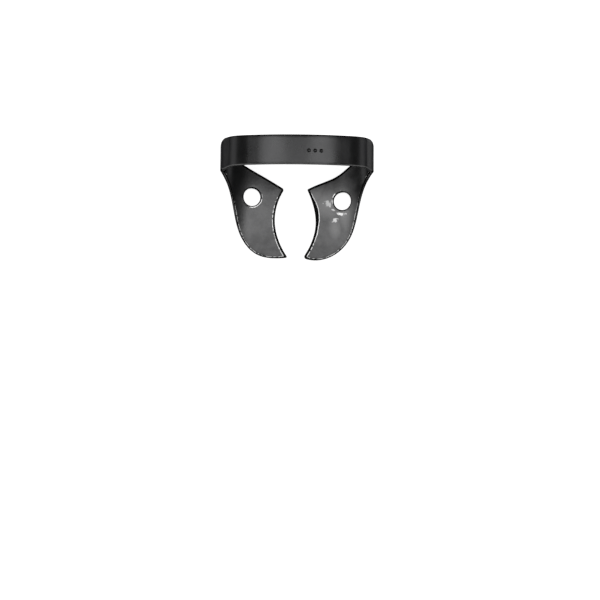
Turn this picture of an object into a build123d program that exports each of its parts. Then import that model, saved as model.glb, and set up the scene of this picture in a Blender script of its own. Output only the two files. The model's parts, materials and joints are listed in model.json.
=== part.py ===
from build123d import *
import os
from math import cos, radians, sin, tan

# A rubber dam clamp: one spring-steel sheet, stamped flat and bent into a loop.
# X runs across the tooth, Y back towards the bow and Z up. The origin is the middle of the
# tooth that the clamp grips, level with its prong points. All sizes are in millimetres.

# Sheet
sheet_thickness = 0.7

# Loop as seen along Y, on its outer face, with headings in degrees below level
clamp_width = 25.8
clamp_height = 16.95
crown_heading = 21.0
top_run = 1.35
shoulder_radius = 0.35 * clamp_height
side_heading = 68.4
flare_radius = 0.37 * clamp_height
flare_heading = 61.8
side_bend_radius = 0.265 * clamp_height
side_bend_heading = 147.5
jaw_heading = 169.0

# The heel bends tighter at the front, where the jaw also levels out towards its prong
front_heel_radius = 7.0
back_heel_radius = 13.0
front_prong_heading = 181.0

# Bow band, which leans forward over the tooth as it rises, with a rounded corner behind each side
bow_root_front = 8.1
bow_root_width = 4.0
bow_corner_back = 13.05
bow_corner_height = 9.0
bow_corner_radius = 3.0
bow_top_back = 11.6
bow_top_width = 4.45
bow_front_hollow = 0.15
crown_slope = 5.0

# Places of the prong points
prong_spacing = 12.2
rear_prong_gap = 4.2
front_prong_gap = 2.7
blunt_prong_radius = 0.45
sharp_prong_radius = 0.2

# Outer edge of a jaw: its neck below the bow, flank, belly and toe
neck_inset = 1.4
neck_length = 3.6
flank_inset = 2.1
flank_height = 7.1
belly_inset = 3.4
belly_height = 3.15
toe_inset = 6.1
toe_height = 0.45

# Each jaw's own edges, as steps outwards and back from its prong points
left_toe = (2.2, -0.15)
left_grip = [(1.4, 2.35), (2.4, 6.15), (2.05, 9.35)]
left_rear_edge = [(1.7, 1.0), (3.4, 1.95), (6.8, 3.7)]
right_toe = (1.85, -0.45)
right_grip = [(0.95, 1.5), (2.25, 5.75), (1.9, 9.05)]
right_rear_edge = [(2.1, 0.95), (5.5, 2.4), (7.35, 3.8)]

# Bevel ground on top of the right jaw's gripping edge: part of a cone around this place
bevel_centre = (-3.6, 0.8)
bevel_radius = 7.4

# Forceps holes, as places inwards from the widest side and back from the tooth centre
hole_diameter = 3.15
left_hole = (4.97, 4.56)
right_hole = (4.51, 3.98)

overrun = 2.0
half_width = clamp_width / 2
bow_back = bow_root_front + bow_root_width
front_end = -(prong_spacing + overrun) / 2
back_end = max(bow_back, bow_corner_back, bow_top_back) + overrun / 2


def heading(degrees):
    """Unit direction that points outwards and down by this angle."""
    return Vector(cos(radians(degrees)), -sin(radians(degrees)))


def arc_step(radius, start, end):
    """Move along a bend that turns from one heading to the next."""
    return Vector(
        radius * (sin(radians(end)) - sin(radians(start))),
        radius * (cos(radians(end)) - cos(radians(start))),
    )


class LoopLine:
    """Outer line of the loop in one plane across the clamp."""

    def __init__(self, height, heel_radius, prong_heading):
        to_widest = (
            top_run * heading(crown_heading)
            + arc_step(shoulder_radius, crown_heading, side_heading)
            - arc_step(flare_radius, side_heading, flare_heading)
            + arc_step(side_bend_radius, flare_heading, 90)
        )
        to_jaw = (
            arc_step(side_bend_radius, 90, side_bend_heading)
            + arc_step(heel_radius, side_bend_heading, jaw_heading)
        )
        self.height = height
        self.heel_radius = heel_radius
        self.jaw_turn = prong_heading - jaw_heading
        reach = half_width + to_jaw.X - front_prong_gap / 2
        chord = heading((jaw_heading + prong_heading) / 2)
        self.jaw_chord = reach / -chord.X
        self.widest_level = -to_jaw.Y - self.jaw_chord * chord.Y
        left_over = Vector(half_width, self.widest_level - height) - to_widest
        crown = arc_step(1, 0, crown_heading)
        side = heading(side_heading)
        turn = crown.X * side.Y - crown.Y * side.X
        self.crown_radius = (left_over.X * side.Y - left_over.Y * side.X) / turn
        self.side_run = (left_over.Y * crown.X - left_over.X * crown.Y) / turn

    def crown(self):
        """The arc over the tooth, drawn from left to right."""
        centre = (0, self.height - self.crown_radius)
        return CenterArc(centre, self.crown_radius, 90 + crown_heading, -2 * crown_heading)

    def side(self):
        """Arcs and straights of the right side, from the crown to the prong point."""
        crown = self.crown()
        top = PolarLine(crown @ 1, top_run, direction=crown % 1)
        shoulder = JernArc(top @ 1, top % 1, shoulder_radius, crown_heading - side_heading)
        side = PolarLine(shoulder @ 1, self.side_run, direction=shoulder % 1)
        flare = JernArc(side @ 1, side % 1, flare_radius, side_heading - flare_heading)
        bend = JernArc(flare @ 1, flare % 1, side_bend_radius, flare_heading - side_bend_heading)
        heel = JernArc(bend @ 1, bend % 1, self.heel_radius, side_bend_heading - jaw_heading)
        if self.jaw_turn == 0:
            jaw = PolarLine(heel @ 1, self.jaw_chord, direction=heel % 1)
        else:
            radius = self.jaw_chord / 2 / sin(radians(self.jaw_turn / 2))
            jaw = JernArc(heel @ 1, heel % 1, radius, -self.jaw_turn)
        nose = PolarLine(jaw @ 1, front_prong_gap / 4, direction=jaw % 1)
        return [top, shoulder, side, flare, bend, heel, jaw, nose]


def crown_level(y):
    """Height of the crown, which falls towards the front."""
    return clamp_height - (bow_top_back - y) * tan(radians(crown_slope))


front_loop = LoopLine(crown_level(front_end), front_heel_radius, front_prong_heading)
back_loop = LoopLine(crown_level(back_end), back_heel_radius, jaw_heading)
root_slope = (back_loop.widest_level - front_loop.widest_level) / (back_end - front_end)


def root_level(y):
    """Height at which the loop is widest, where the bow ends and the jaws begin."""
    return front_loop.widest_level + (y - front_end) * root_slope


def ruled_strip(near, far):
    """Face that runs straight from a line of the front loop to the same line of the back loop."""
    near_edge = (Plane.XZ.offset(-front_end) * near).edge()
    far_edge = (Plane.XZ.offset(-back_end) * far).edge()
    return Face.make_surface_from_curves(near_edge, far_edge)


def bent_surface():
    """Outer face of the bent sheet before trimming."""
    crown = ruled_strip(front_loop.crown(), back_loop.crown())
    right = [ruled_strip(near, far) for near, far in zip(front_loop.side(), back_loop.side())]
    return Shell([crown, *right, *[mirror(strip, Plane.YZ) for strip in right]])


def bow_band():
    """Space that the bow fills, seen from the side: it narrows and leans forward upwards."""
    front_root = Vector(bow_root_front, root_level(bow_root_front))
    back_root = Vector(bow_back, root_level(bow_back))
    front_top = Vector(bow_top_back - bow_top_width, clamp_height)
    back_top = Vector(bow_top_back, clamp_height)
    front_middle = (front_root + front_top) / 2 + Vector(bow_front_hollow, 0)
    back_corner = Vector(bow_corner_back, bow_corner_height)
    front_edge = ThreePointArc(front_root, front_middle, front_top)
    back_edge = FilletPolyline(back_top, back_corner, back_root, radius=bow_corner_radius)
    cap = Polyline(front_top, front_top + Vector(0, overrun), back_top + Vector(0, overrun), back_top)
    face = make_face(front_edge + cap + back_edge + Line(back_root, front_root))
    return extrude(Plane.YZ * face, half_width + overrun, both=True)


def jaw_blank(toe, grip, rear_edge, rear_radius, front_radius):
    """Space that one jaw fills, seen from above, drawn on the right-hand side."""
    front_y = -prong_spacing / 2
    front = Vector(front_prong_gap / 2, front_y)
    rear = Vector(rear_prong_gap / 2, prong_spacing / 2)
    neck = Vector(half_width, bow_root_front)
    root = Vector(half_width, bow_back)
    outer = Spline(
        neck,
        neck - Vector(neck_inset, neck_length),
        (half_width - flank_inset, front_y + flank_height),
        (half_width - belly_inset, front_y + belly_height),
        (half_width - toe_inset, front_y + toe_height),
        front + Vector(*toe),
        front,
    )
    inner = Spline(front, *[front + Vector(*step) for step in grip], rear)
    back = Spline(rear, *[rear + Vector(*step) for step in rear_edge], root)
    margin = Polyline(root, root + Vector(overrun, 0), neck + Vector(overrun, 0), neck)
    blank = extrude(make_face(outer + inner + back + margin), clamp_height, both=True)
    for corner, radius in ((rear, rear_radius), (front, front_radius)):
        nearest = blank.edges().filter_by(Axis.Z).sort_by_distance(Vertex(corner.X, corner.Y, 0))[0]
        blank = fillet(nearest, radius)
    root_plane = Plane((0, bow_back, root_level(bow_back)), x_dir=(1, 0, 0), z_dir=(0, -root_slope, 1))
    return split(blank, root_plane, keep=Keep.BOTTOM)


def punch(surface, hole):
    """Cylinder square to the surface that punches a forceps hole in the right jaw."""
    inwards, back = hole
    upwards = Axis((half_width - inwards, back, -overrun), (0, 0, 1))
    point, normal = sorted(surface.find_intersection_points(upwards), key=lambda hit: hit[0].Z)[0]
    return Plane(point, z_dir=normal) * Cylinder(hole_diameter / 2, 4 * sheet_thickness)


def ground_bevel():
    """Cone whose lower skirt slopes from the right jaw's top face down to its gripping edge."""
    skirt = Cone(bevel_radius - overrun, bevel_radius + overrun, 2 * overrun)
    return split(Pos(*bevel_centre, sheet_thickness) * skirt, Plane.YZ, keep=Keep.TOP)


left_jaw = jaw_blank(left_toe, left_grip, left_rear_edge, blunt_prong_radius, sharp_prong_radius)
right_jaw = jaw_blank(right_toe, right_grip, right_rear_edge, sharp_prong_radius, blunt_prong_radius)
surface = bent_surface()
trimmed = surface & (bow_band() + right_jaw + mirror(left_jaw, Plane.YZ))
sheet = Solid.thicken(Shell(trimmed.faces()), -sheet_thickness)
punched = sheet - punch(surface, right_hole) - mirror(punch(surface, left_hole), Plane.YZ)
clamp = punched - ground_bevel()
os.makedirs("parts", exist_ok=True)
export_step(clamp, "parts/clamp.step")
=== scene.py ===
import json
from bisect import bisect_right
from math import ceil, cos, hypot, pi, radians, sin, tan

import bmesh
import bpy
import numpy as np
from bmesh.types import BMEdge, BMFace, BMVert
from bpy.props import FloatProperty, FloatVectorProperty, PointerProperty
from mathutils import Matrix, Vector


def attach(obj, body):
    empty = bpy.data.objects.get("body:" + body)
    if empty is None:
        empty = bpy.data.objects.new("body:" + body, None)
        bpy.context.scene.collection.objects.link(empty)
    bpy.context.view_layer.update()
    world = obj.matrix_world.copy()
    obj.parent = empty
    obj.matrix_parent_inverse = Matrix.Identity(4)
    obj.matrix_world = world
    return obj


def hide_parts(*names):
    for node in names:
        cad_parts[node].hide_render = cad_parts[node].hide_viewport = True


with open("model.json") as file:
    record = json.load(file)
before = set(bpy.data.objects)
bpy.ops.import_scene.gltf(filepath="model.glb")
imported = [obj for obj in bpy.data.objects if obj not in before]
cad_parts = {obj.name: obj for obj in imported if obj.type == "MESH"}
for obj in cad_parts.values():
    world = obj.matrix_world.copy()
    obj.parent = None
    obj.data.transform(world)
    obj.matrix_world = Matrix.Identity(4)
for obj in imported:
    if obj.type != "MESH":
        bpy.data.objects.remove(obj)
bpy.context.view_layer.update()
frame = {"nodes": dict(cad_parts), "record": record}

bl_info = {
    "name": "Rubber dam clamp",
    "version": (1, 0, 0),
    "blender": (4, 5, 0),
    "location": "View3D > Sidebar > Clamp",
    "description": "Builds a stamped and bent dental clamp on its packed frame, in a plain studio",
    "category": "Add Mesh",
}

MM = 0.001


class ClampSizes(bpy.types.PropertyGroup):
    """Sizes of the bent sheet and of the small forms on it."""

    width: FloatProperty(
        name="Width",
        description="Widest size across the tooth",
        default=25.8 * MM,
        unit="LENGTH",
    )
    height: FloatProperty(
        name="Height",
        description="From the prong points to the crown",
        default=16.95 * MM,
        unit="LENGTH",
    )
    thickness: FloatProperty(
        name="Thickness",
        description="Thickness of the sheet",
        default=0.7 * MM,
        unit="LENGTH",
    )
    edge_round: FloatProperty(
        name="Edge round",
        description="Rounding of the tumbled edges",
        default=0.13 * MM,
        unit="LENGTH",
    )
    border: FloatProperty(
        name="Border",
        description="Reach of the marked strip beside each edge",
        default=0.56 * MM,
        unit="LENGTH",
    )
    rim_sink: FloatProperty(
        name="Rim sink",
        description="Depth of the dished rim around a forceps hole",
        default=0.035 * MM,
        unit="LENGTH",
    )
    bevel_radius: FloatProperty(
        name="Bevel radius",
        description="Radius of the ground cone at the top of the sheet's prongs",
        default=7.4 * MM,
        unit="LENGTH",
    )
    punch_radius: FloatProperty(
        name="Punch radius",
        description="Radius of a plain punched dot on the bow",
        default=0.3 * MM,
        unit="LENGTH",
    )
    punch_depth: FloatProperty(
        name="Punch depth",
        description="Depth of a punched dot",
        default=0.16 * MM,
        unit="LENGTH",
    )


class ClampFinish(bpy.types.PropertyGroup):
    """Colours and gloss of the sheet's finishes."""

    outer: FloatVectorProperty(
        name="Outer face",
        description="Colour of the loop's outer face",
        default=(0.05, 0.05, 0.051),
        size=3,
        subtype="COLOR",
        min=0,
        max=1,
    )
    inner: FloatVectorProperty(
        name="Inner face",
        description="Colour of the loop's inner face",
        default=(0.105, 0.105, 0.106),
        size=3,
        subtype="COLOR",
        min=0,
        max=1,
    )
    # colour of rubbed-off places, and also of the painted highlights along the edges
    worn_and_highlight: FloatVectorProperty(
        name="Worn steel",
        description="Colour where the dark finish is rubbed off",
        default=(0.55, 0.55, 0.55),
        size=3,
        subtype="COLOR",
        min=0,
        max=1,
    )
    roughness: FloatProperty(
        name="Roughness",
        description="Roughness of the blasted faces",
        default=0.3,
        min=0,
        max=1,
    )


class StudioLook(bpy.types.PropertyGroup):
    """Lamps and floor of the studio."""

    lamp_power: FloatProperty(
        name="Lamps",
        description="Power of each soft lamp above the clamp",
        default=0.0215,
        unit="POWER",
    )
    floor_white: FloatProperty(
        name="Floor white",
        description="How white the floor looks on its own",
        default=0.85,
        min=0,
        max=2,
    )
    room_light: FloatProperty(
        name="Room light",
        description="Strength of the dim room around the lamps",
        default=0.15,
        min=0,
        max=2,
    )


# Bends of the sheet, as headings in degrees below level, followed outwards from the crown
CROWN_HEADING = 21.0
TOP_RUN = 1.35 * MM
SIDE_HEADING = 68.4
FLARE_HEADING = 61.8
SIDE_BEND_HEADING = 147.5
JAW_HEADING = 169.0
FRONT_PRONG_HEADING = 181.0
SHOULDER_SHARE, FLARE_SHARE, SIDE_BEND_SHARE = 0.35, 0.37, 0.265  # radii as shares of the height
SIDE_BEND = 5  # place of the side bend among a loop line's runs
FRONT_HEEL_RADIUS = 7.0 * MM
BACK_HEEL_RADIUS = 13.0 * MM
CROWN_SLOPE = 5.0
BOW_TOP_BACK = 11.6 * MM
FRONT_PRONG_GAP = 2.7 * MM
FRONT_END = -7.1 * MM
BACK_END = 14.05 * MM
BEVEL_CENTRE = (-3.6 * MM, 0.8 * MM)

# Punched dots on the flat blank, and the rings of each as shares of its radius and depth
PUNCH_MARKS = [(1.5 * MM, 9.25 * MM), (2.45 * MM, 9.25 * MM), (3.4 * MM, 9.25 * MM)]
PUNCH_RINGS = [(0.85, 0.3), (0.65, 0.62), (0.4, 0.88), (0.15, 1.0)]

# How finely the mesh follows the curves
BEND_STEP = 3.0  # degrees of bend between two cuts of the blank
RUN_SAMPLES = 30
HOLE_SIDES = 64
PUNCH_SIDES = 20
LONG_STEP = 0.35 * MM  # an outline keeps a point that is farther than this from the last one
TURN_STEP = 5.0  # or a nearer one, where it turns by more degrees than this
SHORT_STEP = 0.03 * MM  # but none as near as this
WALL_STEP = 0.4 * MM  # longest piece that an outline is then divided into
BEVEL_SEARCH_STEP = 0.01 * MM

# The dark line of painted shade is wider along edges to the tooth and the rear, and narrower along
# outer edges and beside the ground bevel, there by the full amount once the bevel sets the edge
# back far enough
TOOTH_WIDER = 0.16 * MM
OUTER_NARROWER = 0.1 * MM
BEVEL_NARROWER, FULL_SET_BACK = 0.24 * MM, 0.3 * MM

# Marks on the flat blank in millimetres: place along, place back, half length, half width and turn
PALE_PATCHES = [
    (28.05, 3.5, 1.3, 0.65, 10),
    (27.3, 2.45, 0.5, 0.3, 0),
    (26.0, 1.7, 1.3, 0.5, 5),
    (27.3, 0.5, 0.9, 0.45, -20),
]
HAZE_MARKS = [
    (28.6, 3.4, 3.0, 3.0, 0),
    (27.4, -0.9, 1.2, 2.1, 0),
    (24.2, 2.4, 2.6, 4.2, 0),
    (30.7, 5.0, 2.4, 2.2, 0),
]

# Studio lamps: name, place, size and share of the lamps' power
LAMPS = [
    ("lamp_left", (-0.0485, 0.012, 0.105), 0.0565, 1.06),
    ("lamp_right", (0.0475, 0.012, 0.105), 0.055, 1.0),
    ("lamp_middle", (0, 0.004, 0.115), 0.05, 0.48),
]
LAMP_TARGET = (0, 0.003, 0.006)

# Camera at the photograph's place, with its lens as Blender states it
CAMERA_PLACE = (-2.39 * MM, -9.49 * MM, 91.27 * MM)
CAMERA_TILT, CAMERA_ROLL = radians(5), 0.010
SENSOR_WIDTH, LENS_LENGTH = 36, 30.69
LENS_SHIFT = (0.0299, -0.1134)

# Order of the sheet's finishes
OUTER, INNER, SHEARED, GROUND, SHADED_CORNER, RUBBED = range(6)
OUTER_BORDER, INNER_BORDER, HIGHLIGHT_LINE, HOLE_RIM = range(6, 10)

# Painted shade and highlights beside the sheet's edges: finish, how bright the burnished dashes
# with their painted highlight are, their scale, the two noise levels between which they fade in,
# and how far the dark line of painted shade and the dashes reach
EDGE_SHADE_AND_HIGHLIGHT = [
    (OUTER_BORDER, 0.2, 2.2, 0.65, 0.8, 0.02, 0.14),
    (INNER_BORDER, 1.6, 1.8, 0.48, 0.56, 0.21, 0.31),
    (HIGHLIGHT_LINE, 1.7, 1.6, 0, 0.1, 0.21, 0.33),
]


def heading(degrees):
    """Unit direction that points outwards and down by this angle."""
    return Vector((cos(radians(degrees)), -sin(radians(degrees))))


def bend_step(radius, start, end):
    """Move along a bend that turns from one heading to the next."""
    start, end = radians(start), radians(end)
    return radius * Vector((sin(end) - sin(start), cos(end) - cos(start)))


def bend_run(radius, start, end):
    """One bend as a run of a loop line: its first heading, its last heading and its length."""
    return start, end, radius * radians(abs(end - start))


class LoopLine:
    """Outer line of the right half in one plane across the clamp."""

    def __init__(self, sizes, height, heel_radius, prong_heading):
        shoulder = SHOULDER_SHARE * sizes.height
        flare = FLARE_SHARE * sizes.height
        side_bend = SIDE_BEND_SHARE * sizes.height
        to_widest = (
            TOP_RUN * heading(CROWN_HEADING)
            + bend_step(shoulder, CROWN_HEADING, SIDE_HEADING)
            - bend_step(flare, SIDE_HEADING, FLARE_HEADING)
            + bend_step(side_bend, FLARE_HEADING, 90)
        )
        to_jaw = (
            bend_step(side_bend, 90, SIDE_BEND_HEADING)
            + bend_step(heel_radius, SIDE_BEND_HEADING, JAW_HEADING)
        )
        chord = heading((JAW_HEADING + prong_heading) / 2)
        jaw_chord = (sizes.width / 2 + to_jaw.x - FRONT_PRONG_GAP / 2) / -chord.x
        widest_level = -to_jaw.y - jaw_chord * chord.y
        left_over = Vector((sizes.width / 2, widest_level - height)) - to_widest
        crown = bend_step(1, 0, CROWN_HEADING)
        side = heading(SIDE_HEADING)
        turn = crown.cross(side)
        crown_radius = left_over.cross(side) / turn
        side_run = crown.cross(left_over) / turn
        jaw_turn = radians(prong_heading - JAW_HEADING)
        jaw_run = jaw_chord / 2 / sin(jaw_turn / 2) * jaw_turn if jaw_turn else jaw_chord
        self.runs = [
            bend_run(crown_radius, 0, CROWN_HEADING),
            (CROWN_HEADING, CROWN_HEADING, TOP_RUN),
            bend_run(shoulder, CROWN_HEADING, SIDE_HEADING),
            (SIDE_HEADING, SIDE_HEADING, side_run),
            bend_run(flare, SIDE_HEADING, FLARE_HEADING),
            bend_run(side_bend, FLARE_HEADING, SIDE_BEND_HEADING),
            bend_run(heel_radius, SIDE_BEND_HEADING, JAW_HEADING),
            (JAW_HEADING, prong_heading, jaw_run),
            (prong_heading, prong_heading, FRONT_PRONG_GAP / 4),
        ]
        self.starts = [Vector((0, height))]
        for index in range(len(self.runs)):
            self.starts.append(self.point(index, 1))

    def point(self, index, share):
        """Place on one run, at a share of its length."""
        start, end, length = self.runs[index]
        if start == end:
            return self.starts[index] + length * share * heading(start)
        radius = length / radians(end - start)
        return self.starts[index] + bend_step(radius, start, start + share * (end - start))

    def direction(self, index, share):
        """Way along the line at a place on one run, as long as the run."""
        start, end, length = self.runs[index]
        return length * heading(start + share * (end - start))


class BentSheet:
    """The bent sheet. A flat place is a run along the loop, a place back and a sheet depth."""

    def __init__(self, sizes):
        front_height = sizes.height - (BOW_TOP_BACK - FRONT_END) * tan(radians(CROWN_SLOPE))
        back_height = sizes.height - (BOW_TOP_BACK - BACK_END) * tan(radians(CROWN_SLOPE))
        self.front = LoopLine(sizes, front_height, FRONT_HEEL_RADIUS, FRONT_PRONG_HEADING)
        self.back = LoopLine(sizes, back_height, BACK_HEEL_RADIUS, JAW_HEADING)
        lengths = [(near[2] + far[2]) / 2 for near, far in zip(self.front.runs, self.back.runs)]
        self.ends = [sum(lengths[:index]) for index in range(len(lengths) + 1)]
        shares = [step / RUN_SAMPLES for step in range(RUN_SAMPLES)]
        samples = [(index, share) for index in range(len(lengths)) for share in shares]
        self.sample_run = np.array([self.ends[i] + share * lengths[i] for i, share in samples])
        self.sample_front = np.array([self.front.point(i, share) for i, share in samples])
        self.sample_back = np.array([self.back.point(i, share) for i, share in samples])

    def along(self, run):
        """Index of the run that a flat place lies on, and its share of that run."""
        index = min(bisect_right(self.ends, run), len(self.ends) - 1) - 1
        return index, (run - self.ends[index]) / (self.ends[index + 1] - self.ends[index])

    def bent(self, place):
        """Where a flat place comes to lie on the bent sheet."""
        side = -1 if place.x < 0 else 1
        index, share = self.along(abs(place.x))
        back_share = (place.y - FRONT_END) / (BACK_END - FRONT_END)
        near, far = self.front.point(index, share), self.back.point(index, share)
        middle = near.lerp(far, back_share)
        way = self.front.direction(index, share).lerp(self.back.direction(index, share), back_share)
        slope = (far - near) / (BACK_END - FRONT_END)
        normal = Vector((way.x, 0, way.y)).cross(Vector((slope.x, 1, slope.y))).normalized()
        point = Vector((middle.x, place.y, middle.y)) + place.z * normal
        return Vector((side * point.x, point.y, point.z))

    def flat(self, point):
        """Flat place of a point on or near the bent sheet."""
        back_share = (point.y - FRONT_END) / (BACK_END - FRONT_END)
        line = self.sample_front + (self.sample_back - self.sample_front) * back_share
        here = np.array((abs(point.x), point.z))
        start, way = line[:-1], line[1:] - line[:-1]
        share = np.clip(((here - start) * way).sum(1) / (way * way).sum(1), 0, 1)
        gap = here - start - way * share[:, None]
        nearest = int(np.argmin((gap * gap).sum(1)))
        before, after = self.sample_run[nearest], self.sample_run[nearest + 1]
        run = before + share[nearest] * (after - before)
        out = gap[nearest][0] * -way[nearest][1] + gap[nearest][1] * way[nearest][0]
        depth = float(np.copysign(np.linalg.norm(gap[nearest]), out))
        return Vector((-run if point.x < 0 else run, point.y, depth))


def only(kind, parts):
    """The parts of one kind among those that a mesh operator gives back."""
    return [part for part in parts if isinstance(part, kind)]


def edges_between(verts, parts):
    """The edges among the parts that run from one of these vertices to another."""
    return [edge for edge in only(BMEdge, parts) if all(vert in verts for vert in edge.verts)]


def edge_loops(edges):
    """Vertices of each closed loop that the edges make, in order."""
    left = dict.fromkeys(edges)
    loops = []
    while left:
        edge, _ = left.popitem()
        loop = [edge.verts[0], edge.verts[1]]
        while loop[-1] is not loop[0]:
            edge = next(e for e in loop[-1].link_edges if e in left)
            del left[edge]
            loop.append(edge.other_vert(loop[-1]))
        loops.append(loop[:-1])
    return loops


def stamped_outline(sheet, sizes):
    """Flat outline of the sheet's outer face, anticlockwise, read from the frame's solid."""
    solid = bmesh.new()
    solid.from_mesh(frame["nodes"]["clamp"].data)
    bmesh.ops.remove_doubles(solid, verts=solid.verts, dist=1e-7)
    near = sizes.thickness / 6
    skin = {face for face in solid.faces if abs(sheet.flat(face.calc_center_median()).z) < near}
    rim = [edge for edge in solid.edges if sum(face in skin for face in edge.link_faces) == 1]
    longest = max(edge_loops(rim), key=len)
    outline = [sheet.flat(vert.co).to_2d() for vert in longest]
    solid.free()
    if signed_area(outline) < 0:
        outline.reverse()
    start = outline.index(min(outline, key=lambda place: place.x))
    return outline[start:] + outline[:start]


def signed_area(outline):
    """Area inside an outline, above zero where it runs anticlockwise."""
    return sum(a.cross(b) for a, b in zip(outline, outline[1:] + outline[:1])) / 2


def smooth_outline(outline):
    """The outline with its corners cut twice, and points only where it turns or runs long."""
    for _ in range(2):
        pairs = list(zip(outline, outline[1:] + outline[:1]))
        outline = [a.lerp(b, share) for a, b in pairs for share in (0.25, 0.75)]
    kept = [outline[0]]
    for here, after in zip(outline[1:], outline[2:] + outline[:1]):
        step = here - kept[-1]
        turned = abs(step.angle_signed(after - here, 0)) if step.length > 0 else 0
        if step.length > LONG_STEP or (turned > radians(TURN_STEP) and step.length > SHORT_STEP):
            kept.append(here)
    spread = []
    for a, b in zip(kept, kept[1:] + kept[:1]):
        pieces = ceil((b - a).length / WALL_STEP)
        spread += [a.lerp(b, step / pieces) for step in range(pieces)]
    return spread


def inward_ways(outline):
    """Unit direction into the sheet at each point of an anticlockwise outline."""
    before = outline[-1:] + outline[:-1]
    after = outline[1:] + outline[:1]
    return [Vector((a.y - b.y, b.x - a.x)).normalized() for a, b in zip(before, after)]


def bevel_shift(sheet, sizes, place, way):
    """How far the ground bevel sets back the inner face's edge at one point of the outline."""
    shift = 0.0
    while shift < 2 * sizes.thickness:
        point = sheet.bent((place + shift * way).to_3d() - Vector((0, 0, sizes.thickness)))
        on_right_jaw = 0 < point.x < sizes.width / 4 and point.z < 3 * sizes.thickness
        reach = hypot(point.x - BEVEL_CENTRE[0], point.y - BEVEL_CENTRE[1])
        if not on_right_jaw or reach > sizes.bevel_radius + point.z - sizes.thickness:
            break
        shift += BEVEL_SEARCH_STEP
    return shift


def forceps_hole(sheet, mount):
    """Flat outline of a round hole on its mount's axis."""
    centre, axis = Vector(mount["pos_m"]), Vector(mount["axis"])
    across = axis.orthogonal().normalized()
    radius = mount["dims"]["r_mm"] * MM
    turns = [Matrix.Rotation(2 * pi * step / HOLE_SIDES, 3, axis) for step in range(HOLE_SIDES)]
    flat = [sheet.flat(centre + radius * (turn @ across)).to_2d() for turn in turns]
    return flat if signed_area(flat) < 0 else flat[::-1]


def add_wall(blank, order, levels):
    """Wires an outline at its first level and draws it down to each other level as a wall."""
    count = len(levels[0])
    verts = [blank.verts.new(point) for point in levels[0]]
    for index, vert in enumerate(verts):
        vert[order] = index
    rim = [blank.edges.new((vert, verts[(index + 1) % count])) for index, vert in enumerate(verts)]
    rims, strips = [rim], []
    for level in levels[1:]:
        drawn = bmesh.ops.extrude_edge_only(blank, edges=rims[-1])["geom"]
        verts = only(BMVert, drawn)
        for vert in verts:
            vert.co = level[vert[order]]
        rims.append(edges_between(verts, drawn))
        strips.append(only(BMFace, drawn))
    return rims, strips


def fill_face(blank, rims, up):
    """Closes one side of the blank between its outline and its holes."""
    edges = [edge for rim in rims for edge in rim]
    filled = bmesh.ops.triangle_fill(
        blank, use_beauty=True, use_dissolve=False, edges=edges, normal=(0, 0, up)
    )
    return only(BMFace, filled["geom"])


def add_punch_mark(blank, sizes, mark):
    """Round dot pressed into the outer face, open to it along its rim."""
    centre = Matrix.Translation((mark[0], mark[1], 0))
    ring = bmesh.ops.create_circle(
        blank, segments=PUNCH_SIDES, radius=sizes.punch_radius, matrix=centre
    )["verts"]
    rim = list(dict.fromkeys(edge for vert in ring for edge in vert.link_edges))
    edges = rim
    for scale, depth in PUNCH_RINGS:
        drawn = bmesh.ops.extrude_edge_only(blank, edges=edges)["geom"]
        verts = only(BMVert, drawn)
        for vert in verts:
            way = (vert.co - centre.translation).to_2d().normalized() * sizes.punch_radius * scale
            vert.co = Vector((mark[0] + way.x, mark[1] + way.y, -depth * sizes.punch_depth))
        edges = edges_between(verts, drawn)
    bmesh.ops.edgeloop_fill(blank, edges=edges)
    return rim


def bend_lines(sheet):
    """Places along the blank where it is cut so that it can bend."""
    lines = [0.0]
    for index, (near, far) in enumerate(zip(sheet.front.runs, sheet.back.runs)):
        turn = max(abs(near[1] - near[0]), abs(far[1] - far[0]))
        steps = max(1, ceil(turn / BEND_STEP))
        start, end = sheet.ends[index], sheet.ends[index + 1]
        lines += [start + (end - start) * (step + 1) / steps for step in range(steps)]
    return [-line for line in lines[1:]] + lines


class EdgeLines:
    """Edges of one face of the flat sheet, to measure how near a place lies to them."""

    def __init__(self, lines):
        ends = np.array([point.to_2d() for line in lines for point in line[1:] + line[:1]])
        self.starts = np.array([point.to_2d() for line in lines for point in line])
        self.ways = ends - self.starts
        self.lengths = np.linalg.norm(self.ways, axis=1)
        to_tooth = self.ways[:, 1] * np.sign(self.starts[:, 0]) / self.lengths
        to_rear = -self.ways[:, 0] / self.lengths
        inwards = np.maximum(to_tooth, to_rear + np.minimum(to_tooth, 0))
        self.extra = np.interp(inwards, (-1, 0, 0.5), (-OUTER_NARROWER, 0, TOOTH_WIDER))
        self.extra[len(lines[0]):] = 0

    def distances(self, place):
        """Distance from a place to each piece of the edges."""
        offset = np.array(place.to_2d()) - self.starts
        share = np.clip((offset * self.ways).sum(1) / self.lengths**2, 0, 1)
        return np.linalg.norm(offset - self.ways * share[:, None], axis=1)

    def mark(self, verts, gap):
        """Writes each vertex's distance in millimetres, less the painted shade line's extra width.
        """
        for vert in verts:
            vert[gap] = float((self.distances(vert.co) - self.extra).min()) / MM


def close_pinches(blank, faces, edges, border):
    """Joins the inset points that crossed over each other in a sharp tip."""
    verts = dict.fromkeys(vert for face in faces for vert in face.verts)
    gaps = {vert: edges.distances(vert.co).min() for vert in verts}
    pinched = [vert for vert in verts if 0.02 * border < gaps[vert] < 0.93 * border]
    while pinched:
        group, fresh = [], [pinched.pop()]
        while fresh:
            group += fresh
            near = {edge.other_vert(vert) for vert in fresh for edge in vert.link_edges}
            fresh = [vert for vert in pinched if vert in near]
            pinched = [vert for vert in pinched if vert not in near]
        middle = sum((vert.co for vert in group), Vector()) / len(group)
        bmesh.ops.pointmerge(blank, verts=group, merge_co=middle)


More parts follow.
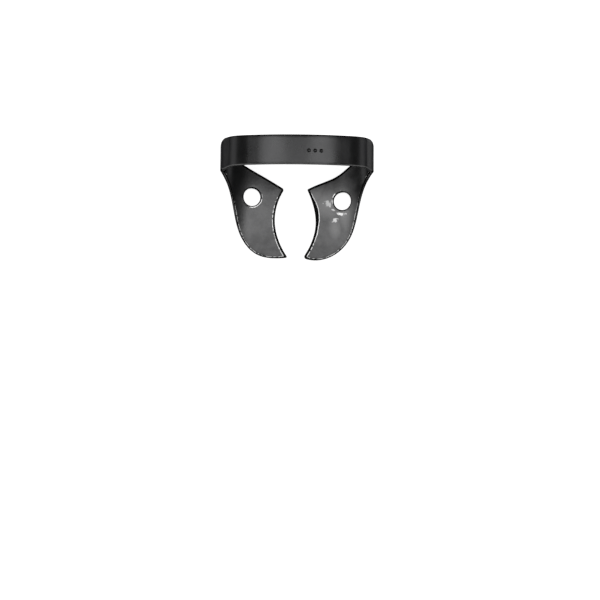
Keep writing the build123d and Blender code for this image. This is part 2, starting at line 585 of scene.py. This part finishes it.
def finish_borders(borders, hole_rims):
    """Gives the strips beside the edges their finishes."""
    for face in borders:
        beside = {near.material_index for edge in face.edges for near in edge.link_faces}
        if hole_rims.intersection(face.edges):
            face.material_index = HOLE_RIM
        # beside the ground bevel: a burnished edge with a painted highlight line
        elif GROUND in beside:
            face.material_index = HIGHLIGHT_LINE
        else:
            face.material_index = OUTER_BORDER if face.material_index == OUTER else INNER_BORDER


def press_marks(blank, sizes, outer, borders):
    """Fills the outer face again inside its borders, around the punched dots."""
    outer = [face for face in outer if face.is_valid]
    inside = dict.fromkeys(edge for face in outer for edge in face.edges)
    bordered = {edge for face in borders if face.is_valid for edge in face.edges}
    kept = [edge for edge in inside if edge in bordered]
    bmesh.ops.delete(blank, geom=outer, context="FACES")
    marks = [add_punch_mark(blank, sizes, mark) for mark in PUNCH_MARKS]
    fill_face(blank, [kept, *marks], 1)
    bmesh.ops.recalc_face_normals(blank, faces=blank.faces)


def round_edges(blank, sheet, sizes, rims):
    """Rounds the edges along the rims, in painted shade. The bow's front edge is rubbed on its
    outer side.
    """
    rounded = bmesh.ops.bevel(
        blank,
        geom=[edge for rim in rims for edge in rim],
        offset=sizes.edge_round,
        segments=3,
        profile=0.5,
        affect="EDGES",
        material=-1,
    )
    for face in rounded["faces"]:
        on_bow = abs(face.calc_center_median().x) < sheet.ends[SIDE_BEND]
        outer_side = face.verts[0].co.z > -sizes.thickness / 2
        rubbed = on_bow and face.normal.y < -0.1 and outer_side
        # the rounding is painted shade, paler where the bow's front edge is rubbed
        face.material_index = RUBBED if rubbed else SHADED_CORNER


def stamp_blank(sheet, sizes):
    """The flat sheet with its outline, holes, ground bevel, punch marks and rounded edges."""
    blank = bmesh.new()
    order = blank.verts.layers.int.new("order")
    gap = blank.verts.layers.float.new("edge_gap")
    outline = smooth_outline(stamped_outline(sheet, sizes))
    ways = inward_ways(outline)
    shifts = [bevel_shift(sheet, sizes, place, way) for place, way in zip(outline, ways)]
    low, high = 2 * sizes.edge_round, sizes.thickness - 2 * sizes.edge_round
    knees = [min(max(sizes.thickness - shift, low), high) for shift in shifts]
    top = [place.to_3d() for place in outline]
    middle = [Vector((place.x, place.y, -knee)) for place, knee in zip(outline, knees)]
    drop = Vector((0, 0, sizes.thickness))
    under = [
        (place + shift * way).to_3d() - drop for place, way, shift in zip(outline, ways, shifts)
    ]
    rims, walls = add_wall(blank, order, [top, middle, under])
    outer_rims, inner_rims, rings = [rims[0]], [rims[-1]], []
    sheared = walls[0] + walls[1]
    ground = [face for face in walls[1] if min(shifts[vert[order]] for vert in face.verts) > 0]
    for mount in frame["record"]["mounts"]:
        if mount["kind"] == "bore":
            ring = [place.to_3d() for place in forceps_hole(sheet, mount)]
            dish = drop - Vector((0, 0, sizes.rim_sink))
            levels = [ring, [place - drop / 2 for place in ring], [place - dish for place in ring]]
            rims, walls = add_wall(blank, order, levels)
            rings.append(ring)
            outer_rims.append(rims[0])
            inner_rims.append(rims[-1])
            sheared += walls[0] + walls[1]
    outer, inner = fill_face(blank, outer_rims, 1), fill_face(blank, inner_rims, -1)
    bmesh.ops.recalc_face_normals(blank, faces=blank.faces)
    for part, finish in ((sheared, SHEARED), (ground, GROUND), (outer, OUTER), (inner, INNER)):
        for face in part:
            face.material_index = finish
    borders = bmesh.ops.inset_region(
        blank, faces=outer + inner, thickness=sizes.border, use_even_offset=True
    )["faces"]
    finish_borders(borders, {edge for rim in inner_rims[1:] for edge in rim})
    outer_edges, inner_edges = EdgeLines([top, *rings]), EdgeLines([under, *rings])
    set_back = np.clip(np.array(shifts) / FULL_SET_BACK, 0, 1)
    inner_edges.extra[:len(shifts)] -= BEVEL_NARROWER * set_back
    middle_depth = -sizes.thickness / 2
    for edges, above in ((outer_edges, True), (inner_edges, False)):
        side = [face for face in borders if (face.verts[0].co.z > middle_depth) == above]
        close_pinches(blank, side, edges, sizes.border)
    press_marks(blank, sizes, outer, borders)
    round_edges(blank, sheet, sizes, outer_rims + inner_rims)
    outer_edges.mark([vert for vert in blank.verts if vert.co.z > middle_depth], gap)
    inner_edges.mark([vert for vert in blank.verts if vert.co.z <= middle_depth], gap)
    return blank


def bend_blank(blank, sheet):
    """Cuts the flat blank at its bend lines and bends it to its loop."""
    for line in bend_lines(sheet):
        parts = [*blank.verts, *blank.edges, *blank.faces]
        bmesh.ops.bisect_plane(
            blank, geom=parts, dist=0.004 * MM, plane_co=(line, 0, 0), plane_no=(1, 0, 0)
        )
    place = blank.verts.layers.float_vector.new("blank_place")
    for vert in blank.verts:
        vert[place] = vert.co / MM
        vert.co = sheet.bent(vert.co)
    bmesh.ops.dissolve_degenerate(blank, edges=blank.edges, dist=1e-7)


class Finish:
    """Short way to lay out one material's nodes."""

    def __init__(self, name):
        self.material = bpy.data.materials.new(name)
        self.material.use_nodes = True
        self.tree = self.material.node_tree
        self.shader = self.tree.nodes["Principled BSDF"]

    def node(self, kind, inputs=None, **settings):
        """Adds a node, sets its settings and fills or links its inputs."""
        made = self.tree.nodes.new(kind)
        for name, value in settings.items():
            setattr(made, name, value)
        for name, value in (inputs or {}).items():
            self.feed(made.inputs[name], value)
        return made

    def feed(self, socket, value):
        """Links an output to the socket, or sets the socket's value."""
        if isinstance(value, bpy.types.NodeSocket):
            self.tree.links.new(value, socket)
        else:
            socket.default_value = value

    def drive(self, name, value):
        """Links or sets one input of the material's shader."""
        self.feed(self.shader.inputs[name], value)

    def math(self, operation, first, second):
        """Output of one sum, product or the like."""
        inputs = {0: first, 1: second}
        return self.node("ShaderNodeMath", inputs, operation=operation).outputs["Value"]

    def range(self, value, low, high, to_low, to_high):
        """Output that runs between two values as the input does."""
        inputs = {"Value": value, "From Min": low, "From Max": high}
        inputs.update({"To Min": to_low, "To Max": to_high})
        return self.node("ShaderNodeMapRange", inputs).outputs["Result"]

    def noise(self, place, scale, detail=3.0, roughness=0.55):
        """Noise over a place, with a scale in turns per millimetre."""
        inputs = {"Vector": place, "Scale": scale, "Detail": detail, "Roughness": roughness}
        return self.node("ShaderNodeTexNoise", inputs).outputs["Fac"]


def blank_place(finish):
    """Place on the flat blank in millimetres, so that a pattern follows the bent sheet."""
    return finish.node("ShaderNodeAttribute", attribute_name="blank_place").outputs["Vector"]


def blank_axes(finish):
    """The place on the flat blank, split into along, back and up."""
    return finish.node("ShaderNodeSeparateXYZ", {"Vector": blank_place(finish)}).outputs


def steel_finish(name, colour, roughness, grain, mottle, bump, stretch=(1, 1, 1)):
    """Blasted and darkened steel: cloudy colour, fine grain and a dull, slightly uneven gloss."""
    finish = Finish(name)
    mapping = finish.node("ShaderNodeMapping", {"Vector": blank_place(finish), "Scale": stretch})
    place = mapping.outputs["Vector"]
    clouds = finish.noise(place, 0.45, 4, 0.62)
    fine = finish.noise(place, grain, 3, 0.7)
    shade = finish.range(clouds, 0.35, 0.65, 1 - mottle, 1 + mottle)
    speck = finish.range(fine, 0.3, 0.7, 0.9, 1.1)
    tone = finish.math("MULTIPLY", shade, speck)
    shaded = finish.node("ShaderNodeVectorMath", {0: colour, "Scale": tone}, operation="SCALE")
    finish.colour = shaded.outputs["Vector"]
    finish.metal = 1.0
    finish.drive("Metallic", finish.metal)
    finish.drive("Specular IOR Level", 0.0)
    finish.drive("Specular Tint", (0.33, 0.33, 0.33, 1))
    finish.drive("Base Color", finish.colour)
    finish.drive("Roughness", finish.range(clouds, 0.35, 0.65, roughness - 0.04, roughness + 0.04))
    relief = {"Height": fine, "Strength": bump, "Distance": 0.01 * MM}
    finish.drive("Normal", finish.node("ShaderNodeBump", relief).outputs["Normal"])
    return finish


def tint(finish, shade, mask):
    """Blends a shade over the finish's colour where the mask is 1."""
    blend = {0: mask, 6: finish.colour, 7: (*shade, 1)}
    finish.colour = finish.node("ShaderNodeMix", blend, data_type="RGBA").outputs[2]
    finish.drive("Base Color", finish.colour)


def band(finish, value, low, high, soft):
    """Mask that is 1 between two values, with soft ends."""
    rise = finish.range(value, low - soft, low + soft, 0, 1)
    fall = finish.range(value, high - soft, high + soft, 1, 0)
    return finish.math("MULTIPLY", rise, fall)


def dashes(finish, scale, low, high):
    """Broken spots along an edge, closer together at the front and few on the jaws' rear edges."""
    axes = blank_axes(finish)
    on_jaw = finish.range(finish.math("ABSOLUTE", axes["X"], 0), 19.5, 21.5, 0, 1)
    rear = finish.math("MULTIPLY", on_jaw, finish.range(axes["Y"], 4, 5.5, 0, 0.3))
    front = finish.range(axes["Y"], -5, 1, 0.08, 0.03)
    level = finish.math("ADD", finish.noise(blank_place(finish), scale, 2, 0.5), front)
    return finish.range(finish.math("SUBTRACT", level, rear), low, high, 0, 1)


def edge_gap(finish):
    """Distance from the sheet's nearest edge in millimetres, a little uneven."""
    gap = finish.node("ShaderNodeAttribute", attribute_name="edge_gap").outputs["Fac"]
    uneven = finish.range(finish.noise(blank_place(finish), 3), 0.3, 0.7, -0.02, 0.02)
    return finish.math("ADD", gap, uneven)


def paint_edge_shade_and_highlight(finish, worn_and_highlight, broken, line, reach):
    """Painted shade line along an edge, and burnished dashes with a painted highlight inside it."""
    gap = edge_gap(finish)
    burnish_highlight = finish.math("MULTIPLY", band(finish, gap, line, reach, 0.015), broken)
    tint(finish, worn_and_highlight, burnish_highlight)
    # painted shade: the nearly black line along the edge
    tint(finish, (0.004, 0.004, 0.004), finish.range(gap, line - 0.02, line + 0.02, 1, 0))
    # the dashes lose metal, so that their painted highlight shows from every side
    dulled = finish.math("MULTIPLY", burnish_highlight, 0.28)
    finish.drive("Metallic", finish.math("SUBTRACT", finish.metal, dulled))


def painted_heel_shade(finish, looks):
    """Painted shade on the inner face, darker from the heel's bend up into the bow."""
    axes = blank_axes(finish)
    slant = finish.math("MULTIPLY", axes["Y"], 0.35)
    along = finish.math("SUBTRACT", finish.math("ABSOLUTE", axes["X"], 0), slant)
    # less painted shade on the right half, which the lamps light more
    along = finish.math("ADD", along, finish.range(axes["X"], -1, 1, 0, 4))
    tint(finish, Vector(looks.outer) * 0.8, finish.range(along, 21, 24.5, 1, 0))


def spots(finish, marks):
    """Soft ellipses on the flat blank, 1 at their centres."""
    total = 0.0
    for x, y, long, wide, turn in marks:
        inputs = {
            "Vector": blank_place(finish),
            "Location": (x, y, 0),
            "Rotation": (0, 0, radians(turn)),
            "Scale": (long, wide, 9),
        }
        spot = finish.node("ShaderNodeMapping", inputs, vector_type="TEXTURE").outputs["Vector"]
        soft = finish.node("ShaderNodeTexGradient", {"Vector": spot}, gradient_type="SPHERICAL")
        total = finish.math("MAXIMUM", total, soft.outputs["Fac"])
    return total


def pale_patch_mask(finish):
    """Lighter patches beside the right forceps hole."""
    total = spots(finish, PALE_PATCHES)
    ragged = finish.range(finish.noise(blank_place(finish), 2.6, 3, 0.6), 0.35, 0.65, -0.35, 0.35)
    within = finish.range(total, 0, 0.1, 0, 1)
    # the lighter patches, with ragged edges
    rubbed = finish.math("MULTIPLY", finish.math("ADD", total, ragged), within)
    return finish.range(rubbed, 0.3, 0.5, 0, 0.9)


def add_haze(finish, worn_and_highlight):
    """Faint lighter and duller clouds on the right jaw around its lighter patches."""
    haze = finish.range(spots(finish, HAZE_MARKS), 0, 0.8, 0, 0.37)
    tint(finish, worn_and_highlight * 0.75, haze)
    finish.metal = finish.math("SUBTRACT", 0.86, haze)
    finish.drive("Metallic", finish.metal)


def rim_shine(finish, marks):
    """Broken bright crescents beside the forceps holes."""
    crescents = finish.range(spots(finish, marks), 0.05, 0.3, 0, 1)
    return finish.math("MULTIPLY", crescents, dashes(finish, 1.5, 0.33, 0.43))


def sheared_finish(shade, worn_and_highlight):
    """Sheared wall of the sheet: streaked across, with a burnished line near the inner face in
    painted highlight.
    """
    finish = steel_finish("sheared_edge", shade, 0.45, 9, 0.4, 0.8, (1, 1, 0.25))
    finish.drive("Metallic", 0.0)
    # burnished line near the inner face, lighter as a painted highlight
    line = band(finish, blank_axes(finish)["Z"], -0.5, -0.42, 0.02)
    tint(finish, worn_and_highlight * 0.6, finish.math("MULTIPLY", line, dashes(finish, 1.2, 0.42, 0.5)))
    return finish


def painted_shade_corner_finish():
    """Nearly black painted shade in the rounding of every edge."""
    finish = Finish("painted_shade_corner")
    tone = finish.range(finish.noise(blank_place(finish), 6), 0.3, 0.7, 0.002, 0.008)
    colour = finish.node("ShaderNodeCombineXYZ", {"X": tone, "Y": tone, "Z": tone})
    finish.drive("Base Color", colour.outputs["Vector"])
    finish.drive("Roughness", 0.6)
    finish.drive("Specular IOR Level", 0.0)
    return finish


def sheet_finishes(looks, hole_places):
    """The sheet's finishes, in their order on its faces."""
    outer, inner, worn_and_highlight = Vector(looks.outer), Vector(looks.inner), Vector(looks.worn_and_highlight)
    soft = looks.roughness + 0.04
    made = [
        steel_finish("outer_face", outer, looks.roughness, 14, 0.08, 0.15),
        steel_finish("inner_face", inner, soft, 14, 0.24, 0.25),
        sheared_finish(outer, worn_and_highlight),
        steel_finish("ground_bevel", outer * 0.25, 0.25, 16, 0.1, 0.3),
        painted_shade_corner_finish(),
        steel_finish("rubbed_corner", worn_and_highlight * 0.3, soft, 14, 0.24, 0.25),
        steel_finish("outer_border", outer, looks.roughness, 14, 0.08, 0.15),
        steel_finish("inner_border", inner, soft, 14, 0.24, 0.25),
        steel_finish("highlight_line", inner, soft, 14, 0.24, 0.25),
        steel_finish("hole_rim", inner, soft, 14, 0.24, 0.25),
    ]
    # painted shade under the bow, and faint clouds, on the inner faces
    for index in (INNER, INNER_BORDER, HIGHLIGHT_LINE, HOLE_RIM):
        painted_heel_shade(made[index], looks)
        add_haze(made[index], worn_and_highlight)
    tint(made[INNER], worn_and_highlight * 1.1, pale_patch_mask(made[INNER]))
    made[GROUND].drive("Metallic", 0.0)
    made[RUBBED].drive("Metallic", 0.4)
    for index, bright, scale, low, high, line, reach in EDGE_SHADE_AND_HIGHLIGHT:
        paint_edge_shade_and_highlight(made[index], worn_and_highlight * bright, dashes(made[index], scale, low, high), line, reach)
    crescents = [
        (x + side * 1.15, y + side * 1.0, 2.0, 1.25, -45)
        for (x, y), side in zip(hole_places, (-1, 1))
    ]
    paint_edge_shade_and_highlight(made[HOLE_RIM], worn_and_highlight * 1.8, rim_shine(made[HOLE_RIM], crescents), 0.19, 0.35)
    return made


class CLAMP_OT_sheet(bpy.types.Operator):
    """Stamp, round and bend the clamp's sheet"""

    bl_idname = "clamp.sheet"
    bl_label = "Clamp sheet"

    def execute(self, context):
        sizes, looks = context.scene.clamp_sizes, context.scene.clamp_finish
        sheet = BentSheet(sizes)
        blank = stamp_blank(sheet, sizes)
        bend_blank(blank, sheet)
        mesh = bpy.data.meshes.new("bent_sheet")
        blank.to_mesh(mesh)
        blank.free()
        mesh.shade_smooth()
        mesh.set_sharp_from_angle(angle=radians(35))
        holes = [mount for mount in frame["record"]["mounts"] if mount["kind"] == "bore"]
        hole_places = [sheet.flat(Vector(hole["pos_m"])).to_2d() / MM for hole in holes]
        for finish in sheet_finishes(looks, hole_places):
            mesh.materials.append(finish.material)
        clamp = bpy.data.objects.new("bent_sheet", mesh)
        context.scene.collection.objects.link(clamp)
        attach(clamp, "root")
        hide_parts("clamp")
        return {"FINISHED"}


class CLAMP_OT_studio(bpy.types.Operator):
    """Set up the pale floor, the soft lamps and the camera"""

    bl_idname = "clamp.studio"
    bl_label = "Studio"

    def execute(self, context):
        look = context.scene.clamp_studio
        self.add_floor(context, look)
        self.add_lamps(context, look)
        self.add_world(context, look)
        self.add_camera(context)
        context.scene.view_settings.view_transform = "Standard"
        return {"FINISHED"}

    def add_floor(self, context, look):
        """Wide white floor just under the prongs."""
        plane = bmesh.new()
        level = Matrix.Translation((0, 0, -0.01 * MM))
        bmesh.ops.create_grid(plane, x_segments=1, y_segments=1, size=0.6, matrix=level)
        mesh = bpy.data.meshes.new("floor")
        plane.to_mesh(mesh)
        plane.free()
        mesh.materials.append(self.white_paper(look))
        floor = bpy.data.objects.new("floor", mesh)
        context.scene.collection.objects.link(floor)

    def white_paper(self, look):
        """White that keeps a shadow, for the camera and for reflections alike."""
        paper = Finish("white_paper")
        paper.drive("Base Color", (0.8, 0.8, 0.8, 1))
        paper.drive("Roughness", 0.9)
        path = paper.node("ShaderNodeLightPath").outputs
        seen = paper.math("MAXIMUM", path["Is Camera Ray"], path["Is Glossy Ray"])
        seen = paper.math("MAXIMUM", seen, path["Is Transmission Ray"])
        paper.drive("Emission Color", (1, 1, 1, 1))
        paper.drive("Emission Strength", paper.math("MULTIPLY", seen, look.floor_white))
        return paper.material

    def add_lamps(self, context, look):
        """Soft lamps left and right of the view, and a weaker one between them."""
        for name, place, size, share in LAMPS:
            light = bpy.data.lights.new(name, "AREA")
            light.shape = "DISK"
            light.size = size
            light.energy = look.lamp_power * share
            lamp = bpy.data.objects.new(name, light)
            lamp.location = place
            way = Vector(LAMP_TARGET) - Vector(place)
            lamp.rotation_euler = way.to_track_quat("-Z", "Y").to_euler()
            context.scene.collection.objects.link(lamp)

    def add_world(self, context, look):
        """Dim grey room that looks white past the floor's edge."""
        world = bpy.data.worlds.new("room")
        world.use_nodes = True
        tree = world.node_tree
        shade = tree.nodes["Background"]
        shade.inputs["Color"].default_value = (1, 1, 1, 1)
        path = tree.nodes.new("ShaderNodeLightPath")
        strength = tree.nodes.new("ShaderNodeMapRange")
        strength.inputs["To Min"].default_value = look.room_light
        strength.inputs["To Max"].default_value = 1.0
        tree.links.new(path.outputs["Is Camera Ray"], strength.inputs["Value"])
        tree.links.new(strength.outputs["Result"], shade.inputs["Strength"])
        context.scene.world = world

    def add_camera(self, context):
        """Camera that looks down on the jaws as the photograph does."""
        lens = bpy.data.cameras.new("camera")
        lens.lens = LENS_LENGTH
        lens.sensor_width = SENSOR_WIDTH
        lens.shift_x, lens.shift_y = LENS_SHIFT
        lens.clip_start = 0.01
        camera = bpy.data.objects.new("camera", lens)
        turn = Matrix.Rotation(CAMERA_TILT, 4, "X") @ Matrix.Rotation(CAMERA_ROLL, 4, "Z")
        camera.matrix_world = Matrix.Translation(CAMERA_PLACE) @ turn
        context.scene.collection.objects.link(camera)
        context.scene.camera = camera


class CLAMP_PT_panel(bpy.types.Panel):
    """Lists the clamp's sizes, finishes and steps"""

    bl_idname = "CLAMP_PT_panel"
    bl_label = "Rubber dam clamp"
    bl_space_type = "VIEW_3D"
    bl_region_type = "UI"
    bl_category = "Clamp"

    def draw(self, context):
        scene = context.scene
        for group in (scene.clamp_sizes, scene.clamp_finish, scene.clamp_studio):
            box = self.layout.box()
            for name in group.__annotations__:
                box.prop(group, name)
        self.layout.operator(CLAMP_OT_sheet.bl_idname)
        self.layout.operator(CLAMP_OT_studio.bl_idname)


CLASSES = (ClampSizes, ClampFinish, StudioLook, CLAMP_OT_sheet, CLAMP_OT_studio, CLAMP_PT_panel)


def register():
    for cls in CLASSES:
        bpy.utils.register_class(cls)
    bpy.types.Scene.clamp_sizes = PointerProperty(type=ClampSizes)
    bpy.types.Scene.clamp_finish = PointerProperty(type=ClampFinish)
    bpy.types.Scene.clamp_studio = PointerProperty(type=StudioLook)


def unregister():
    del bpy.types.Scene.clamp_studio
    del bpy.types.Scene.clamp_finish
    del bpy.types.Scene.clamp_sizes
    for cls in reversed(CLASSES):
        bpy.utils.unregister_class(cls)


def main():
    """Builds the clamp and its studio."""
    register()
    bpy.ops.clamp.sheet()
    bpy.ops.clamp.studio()


if __name__ == "__main__":
    main()
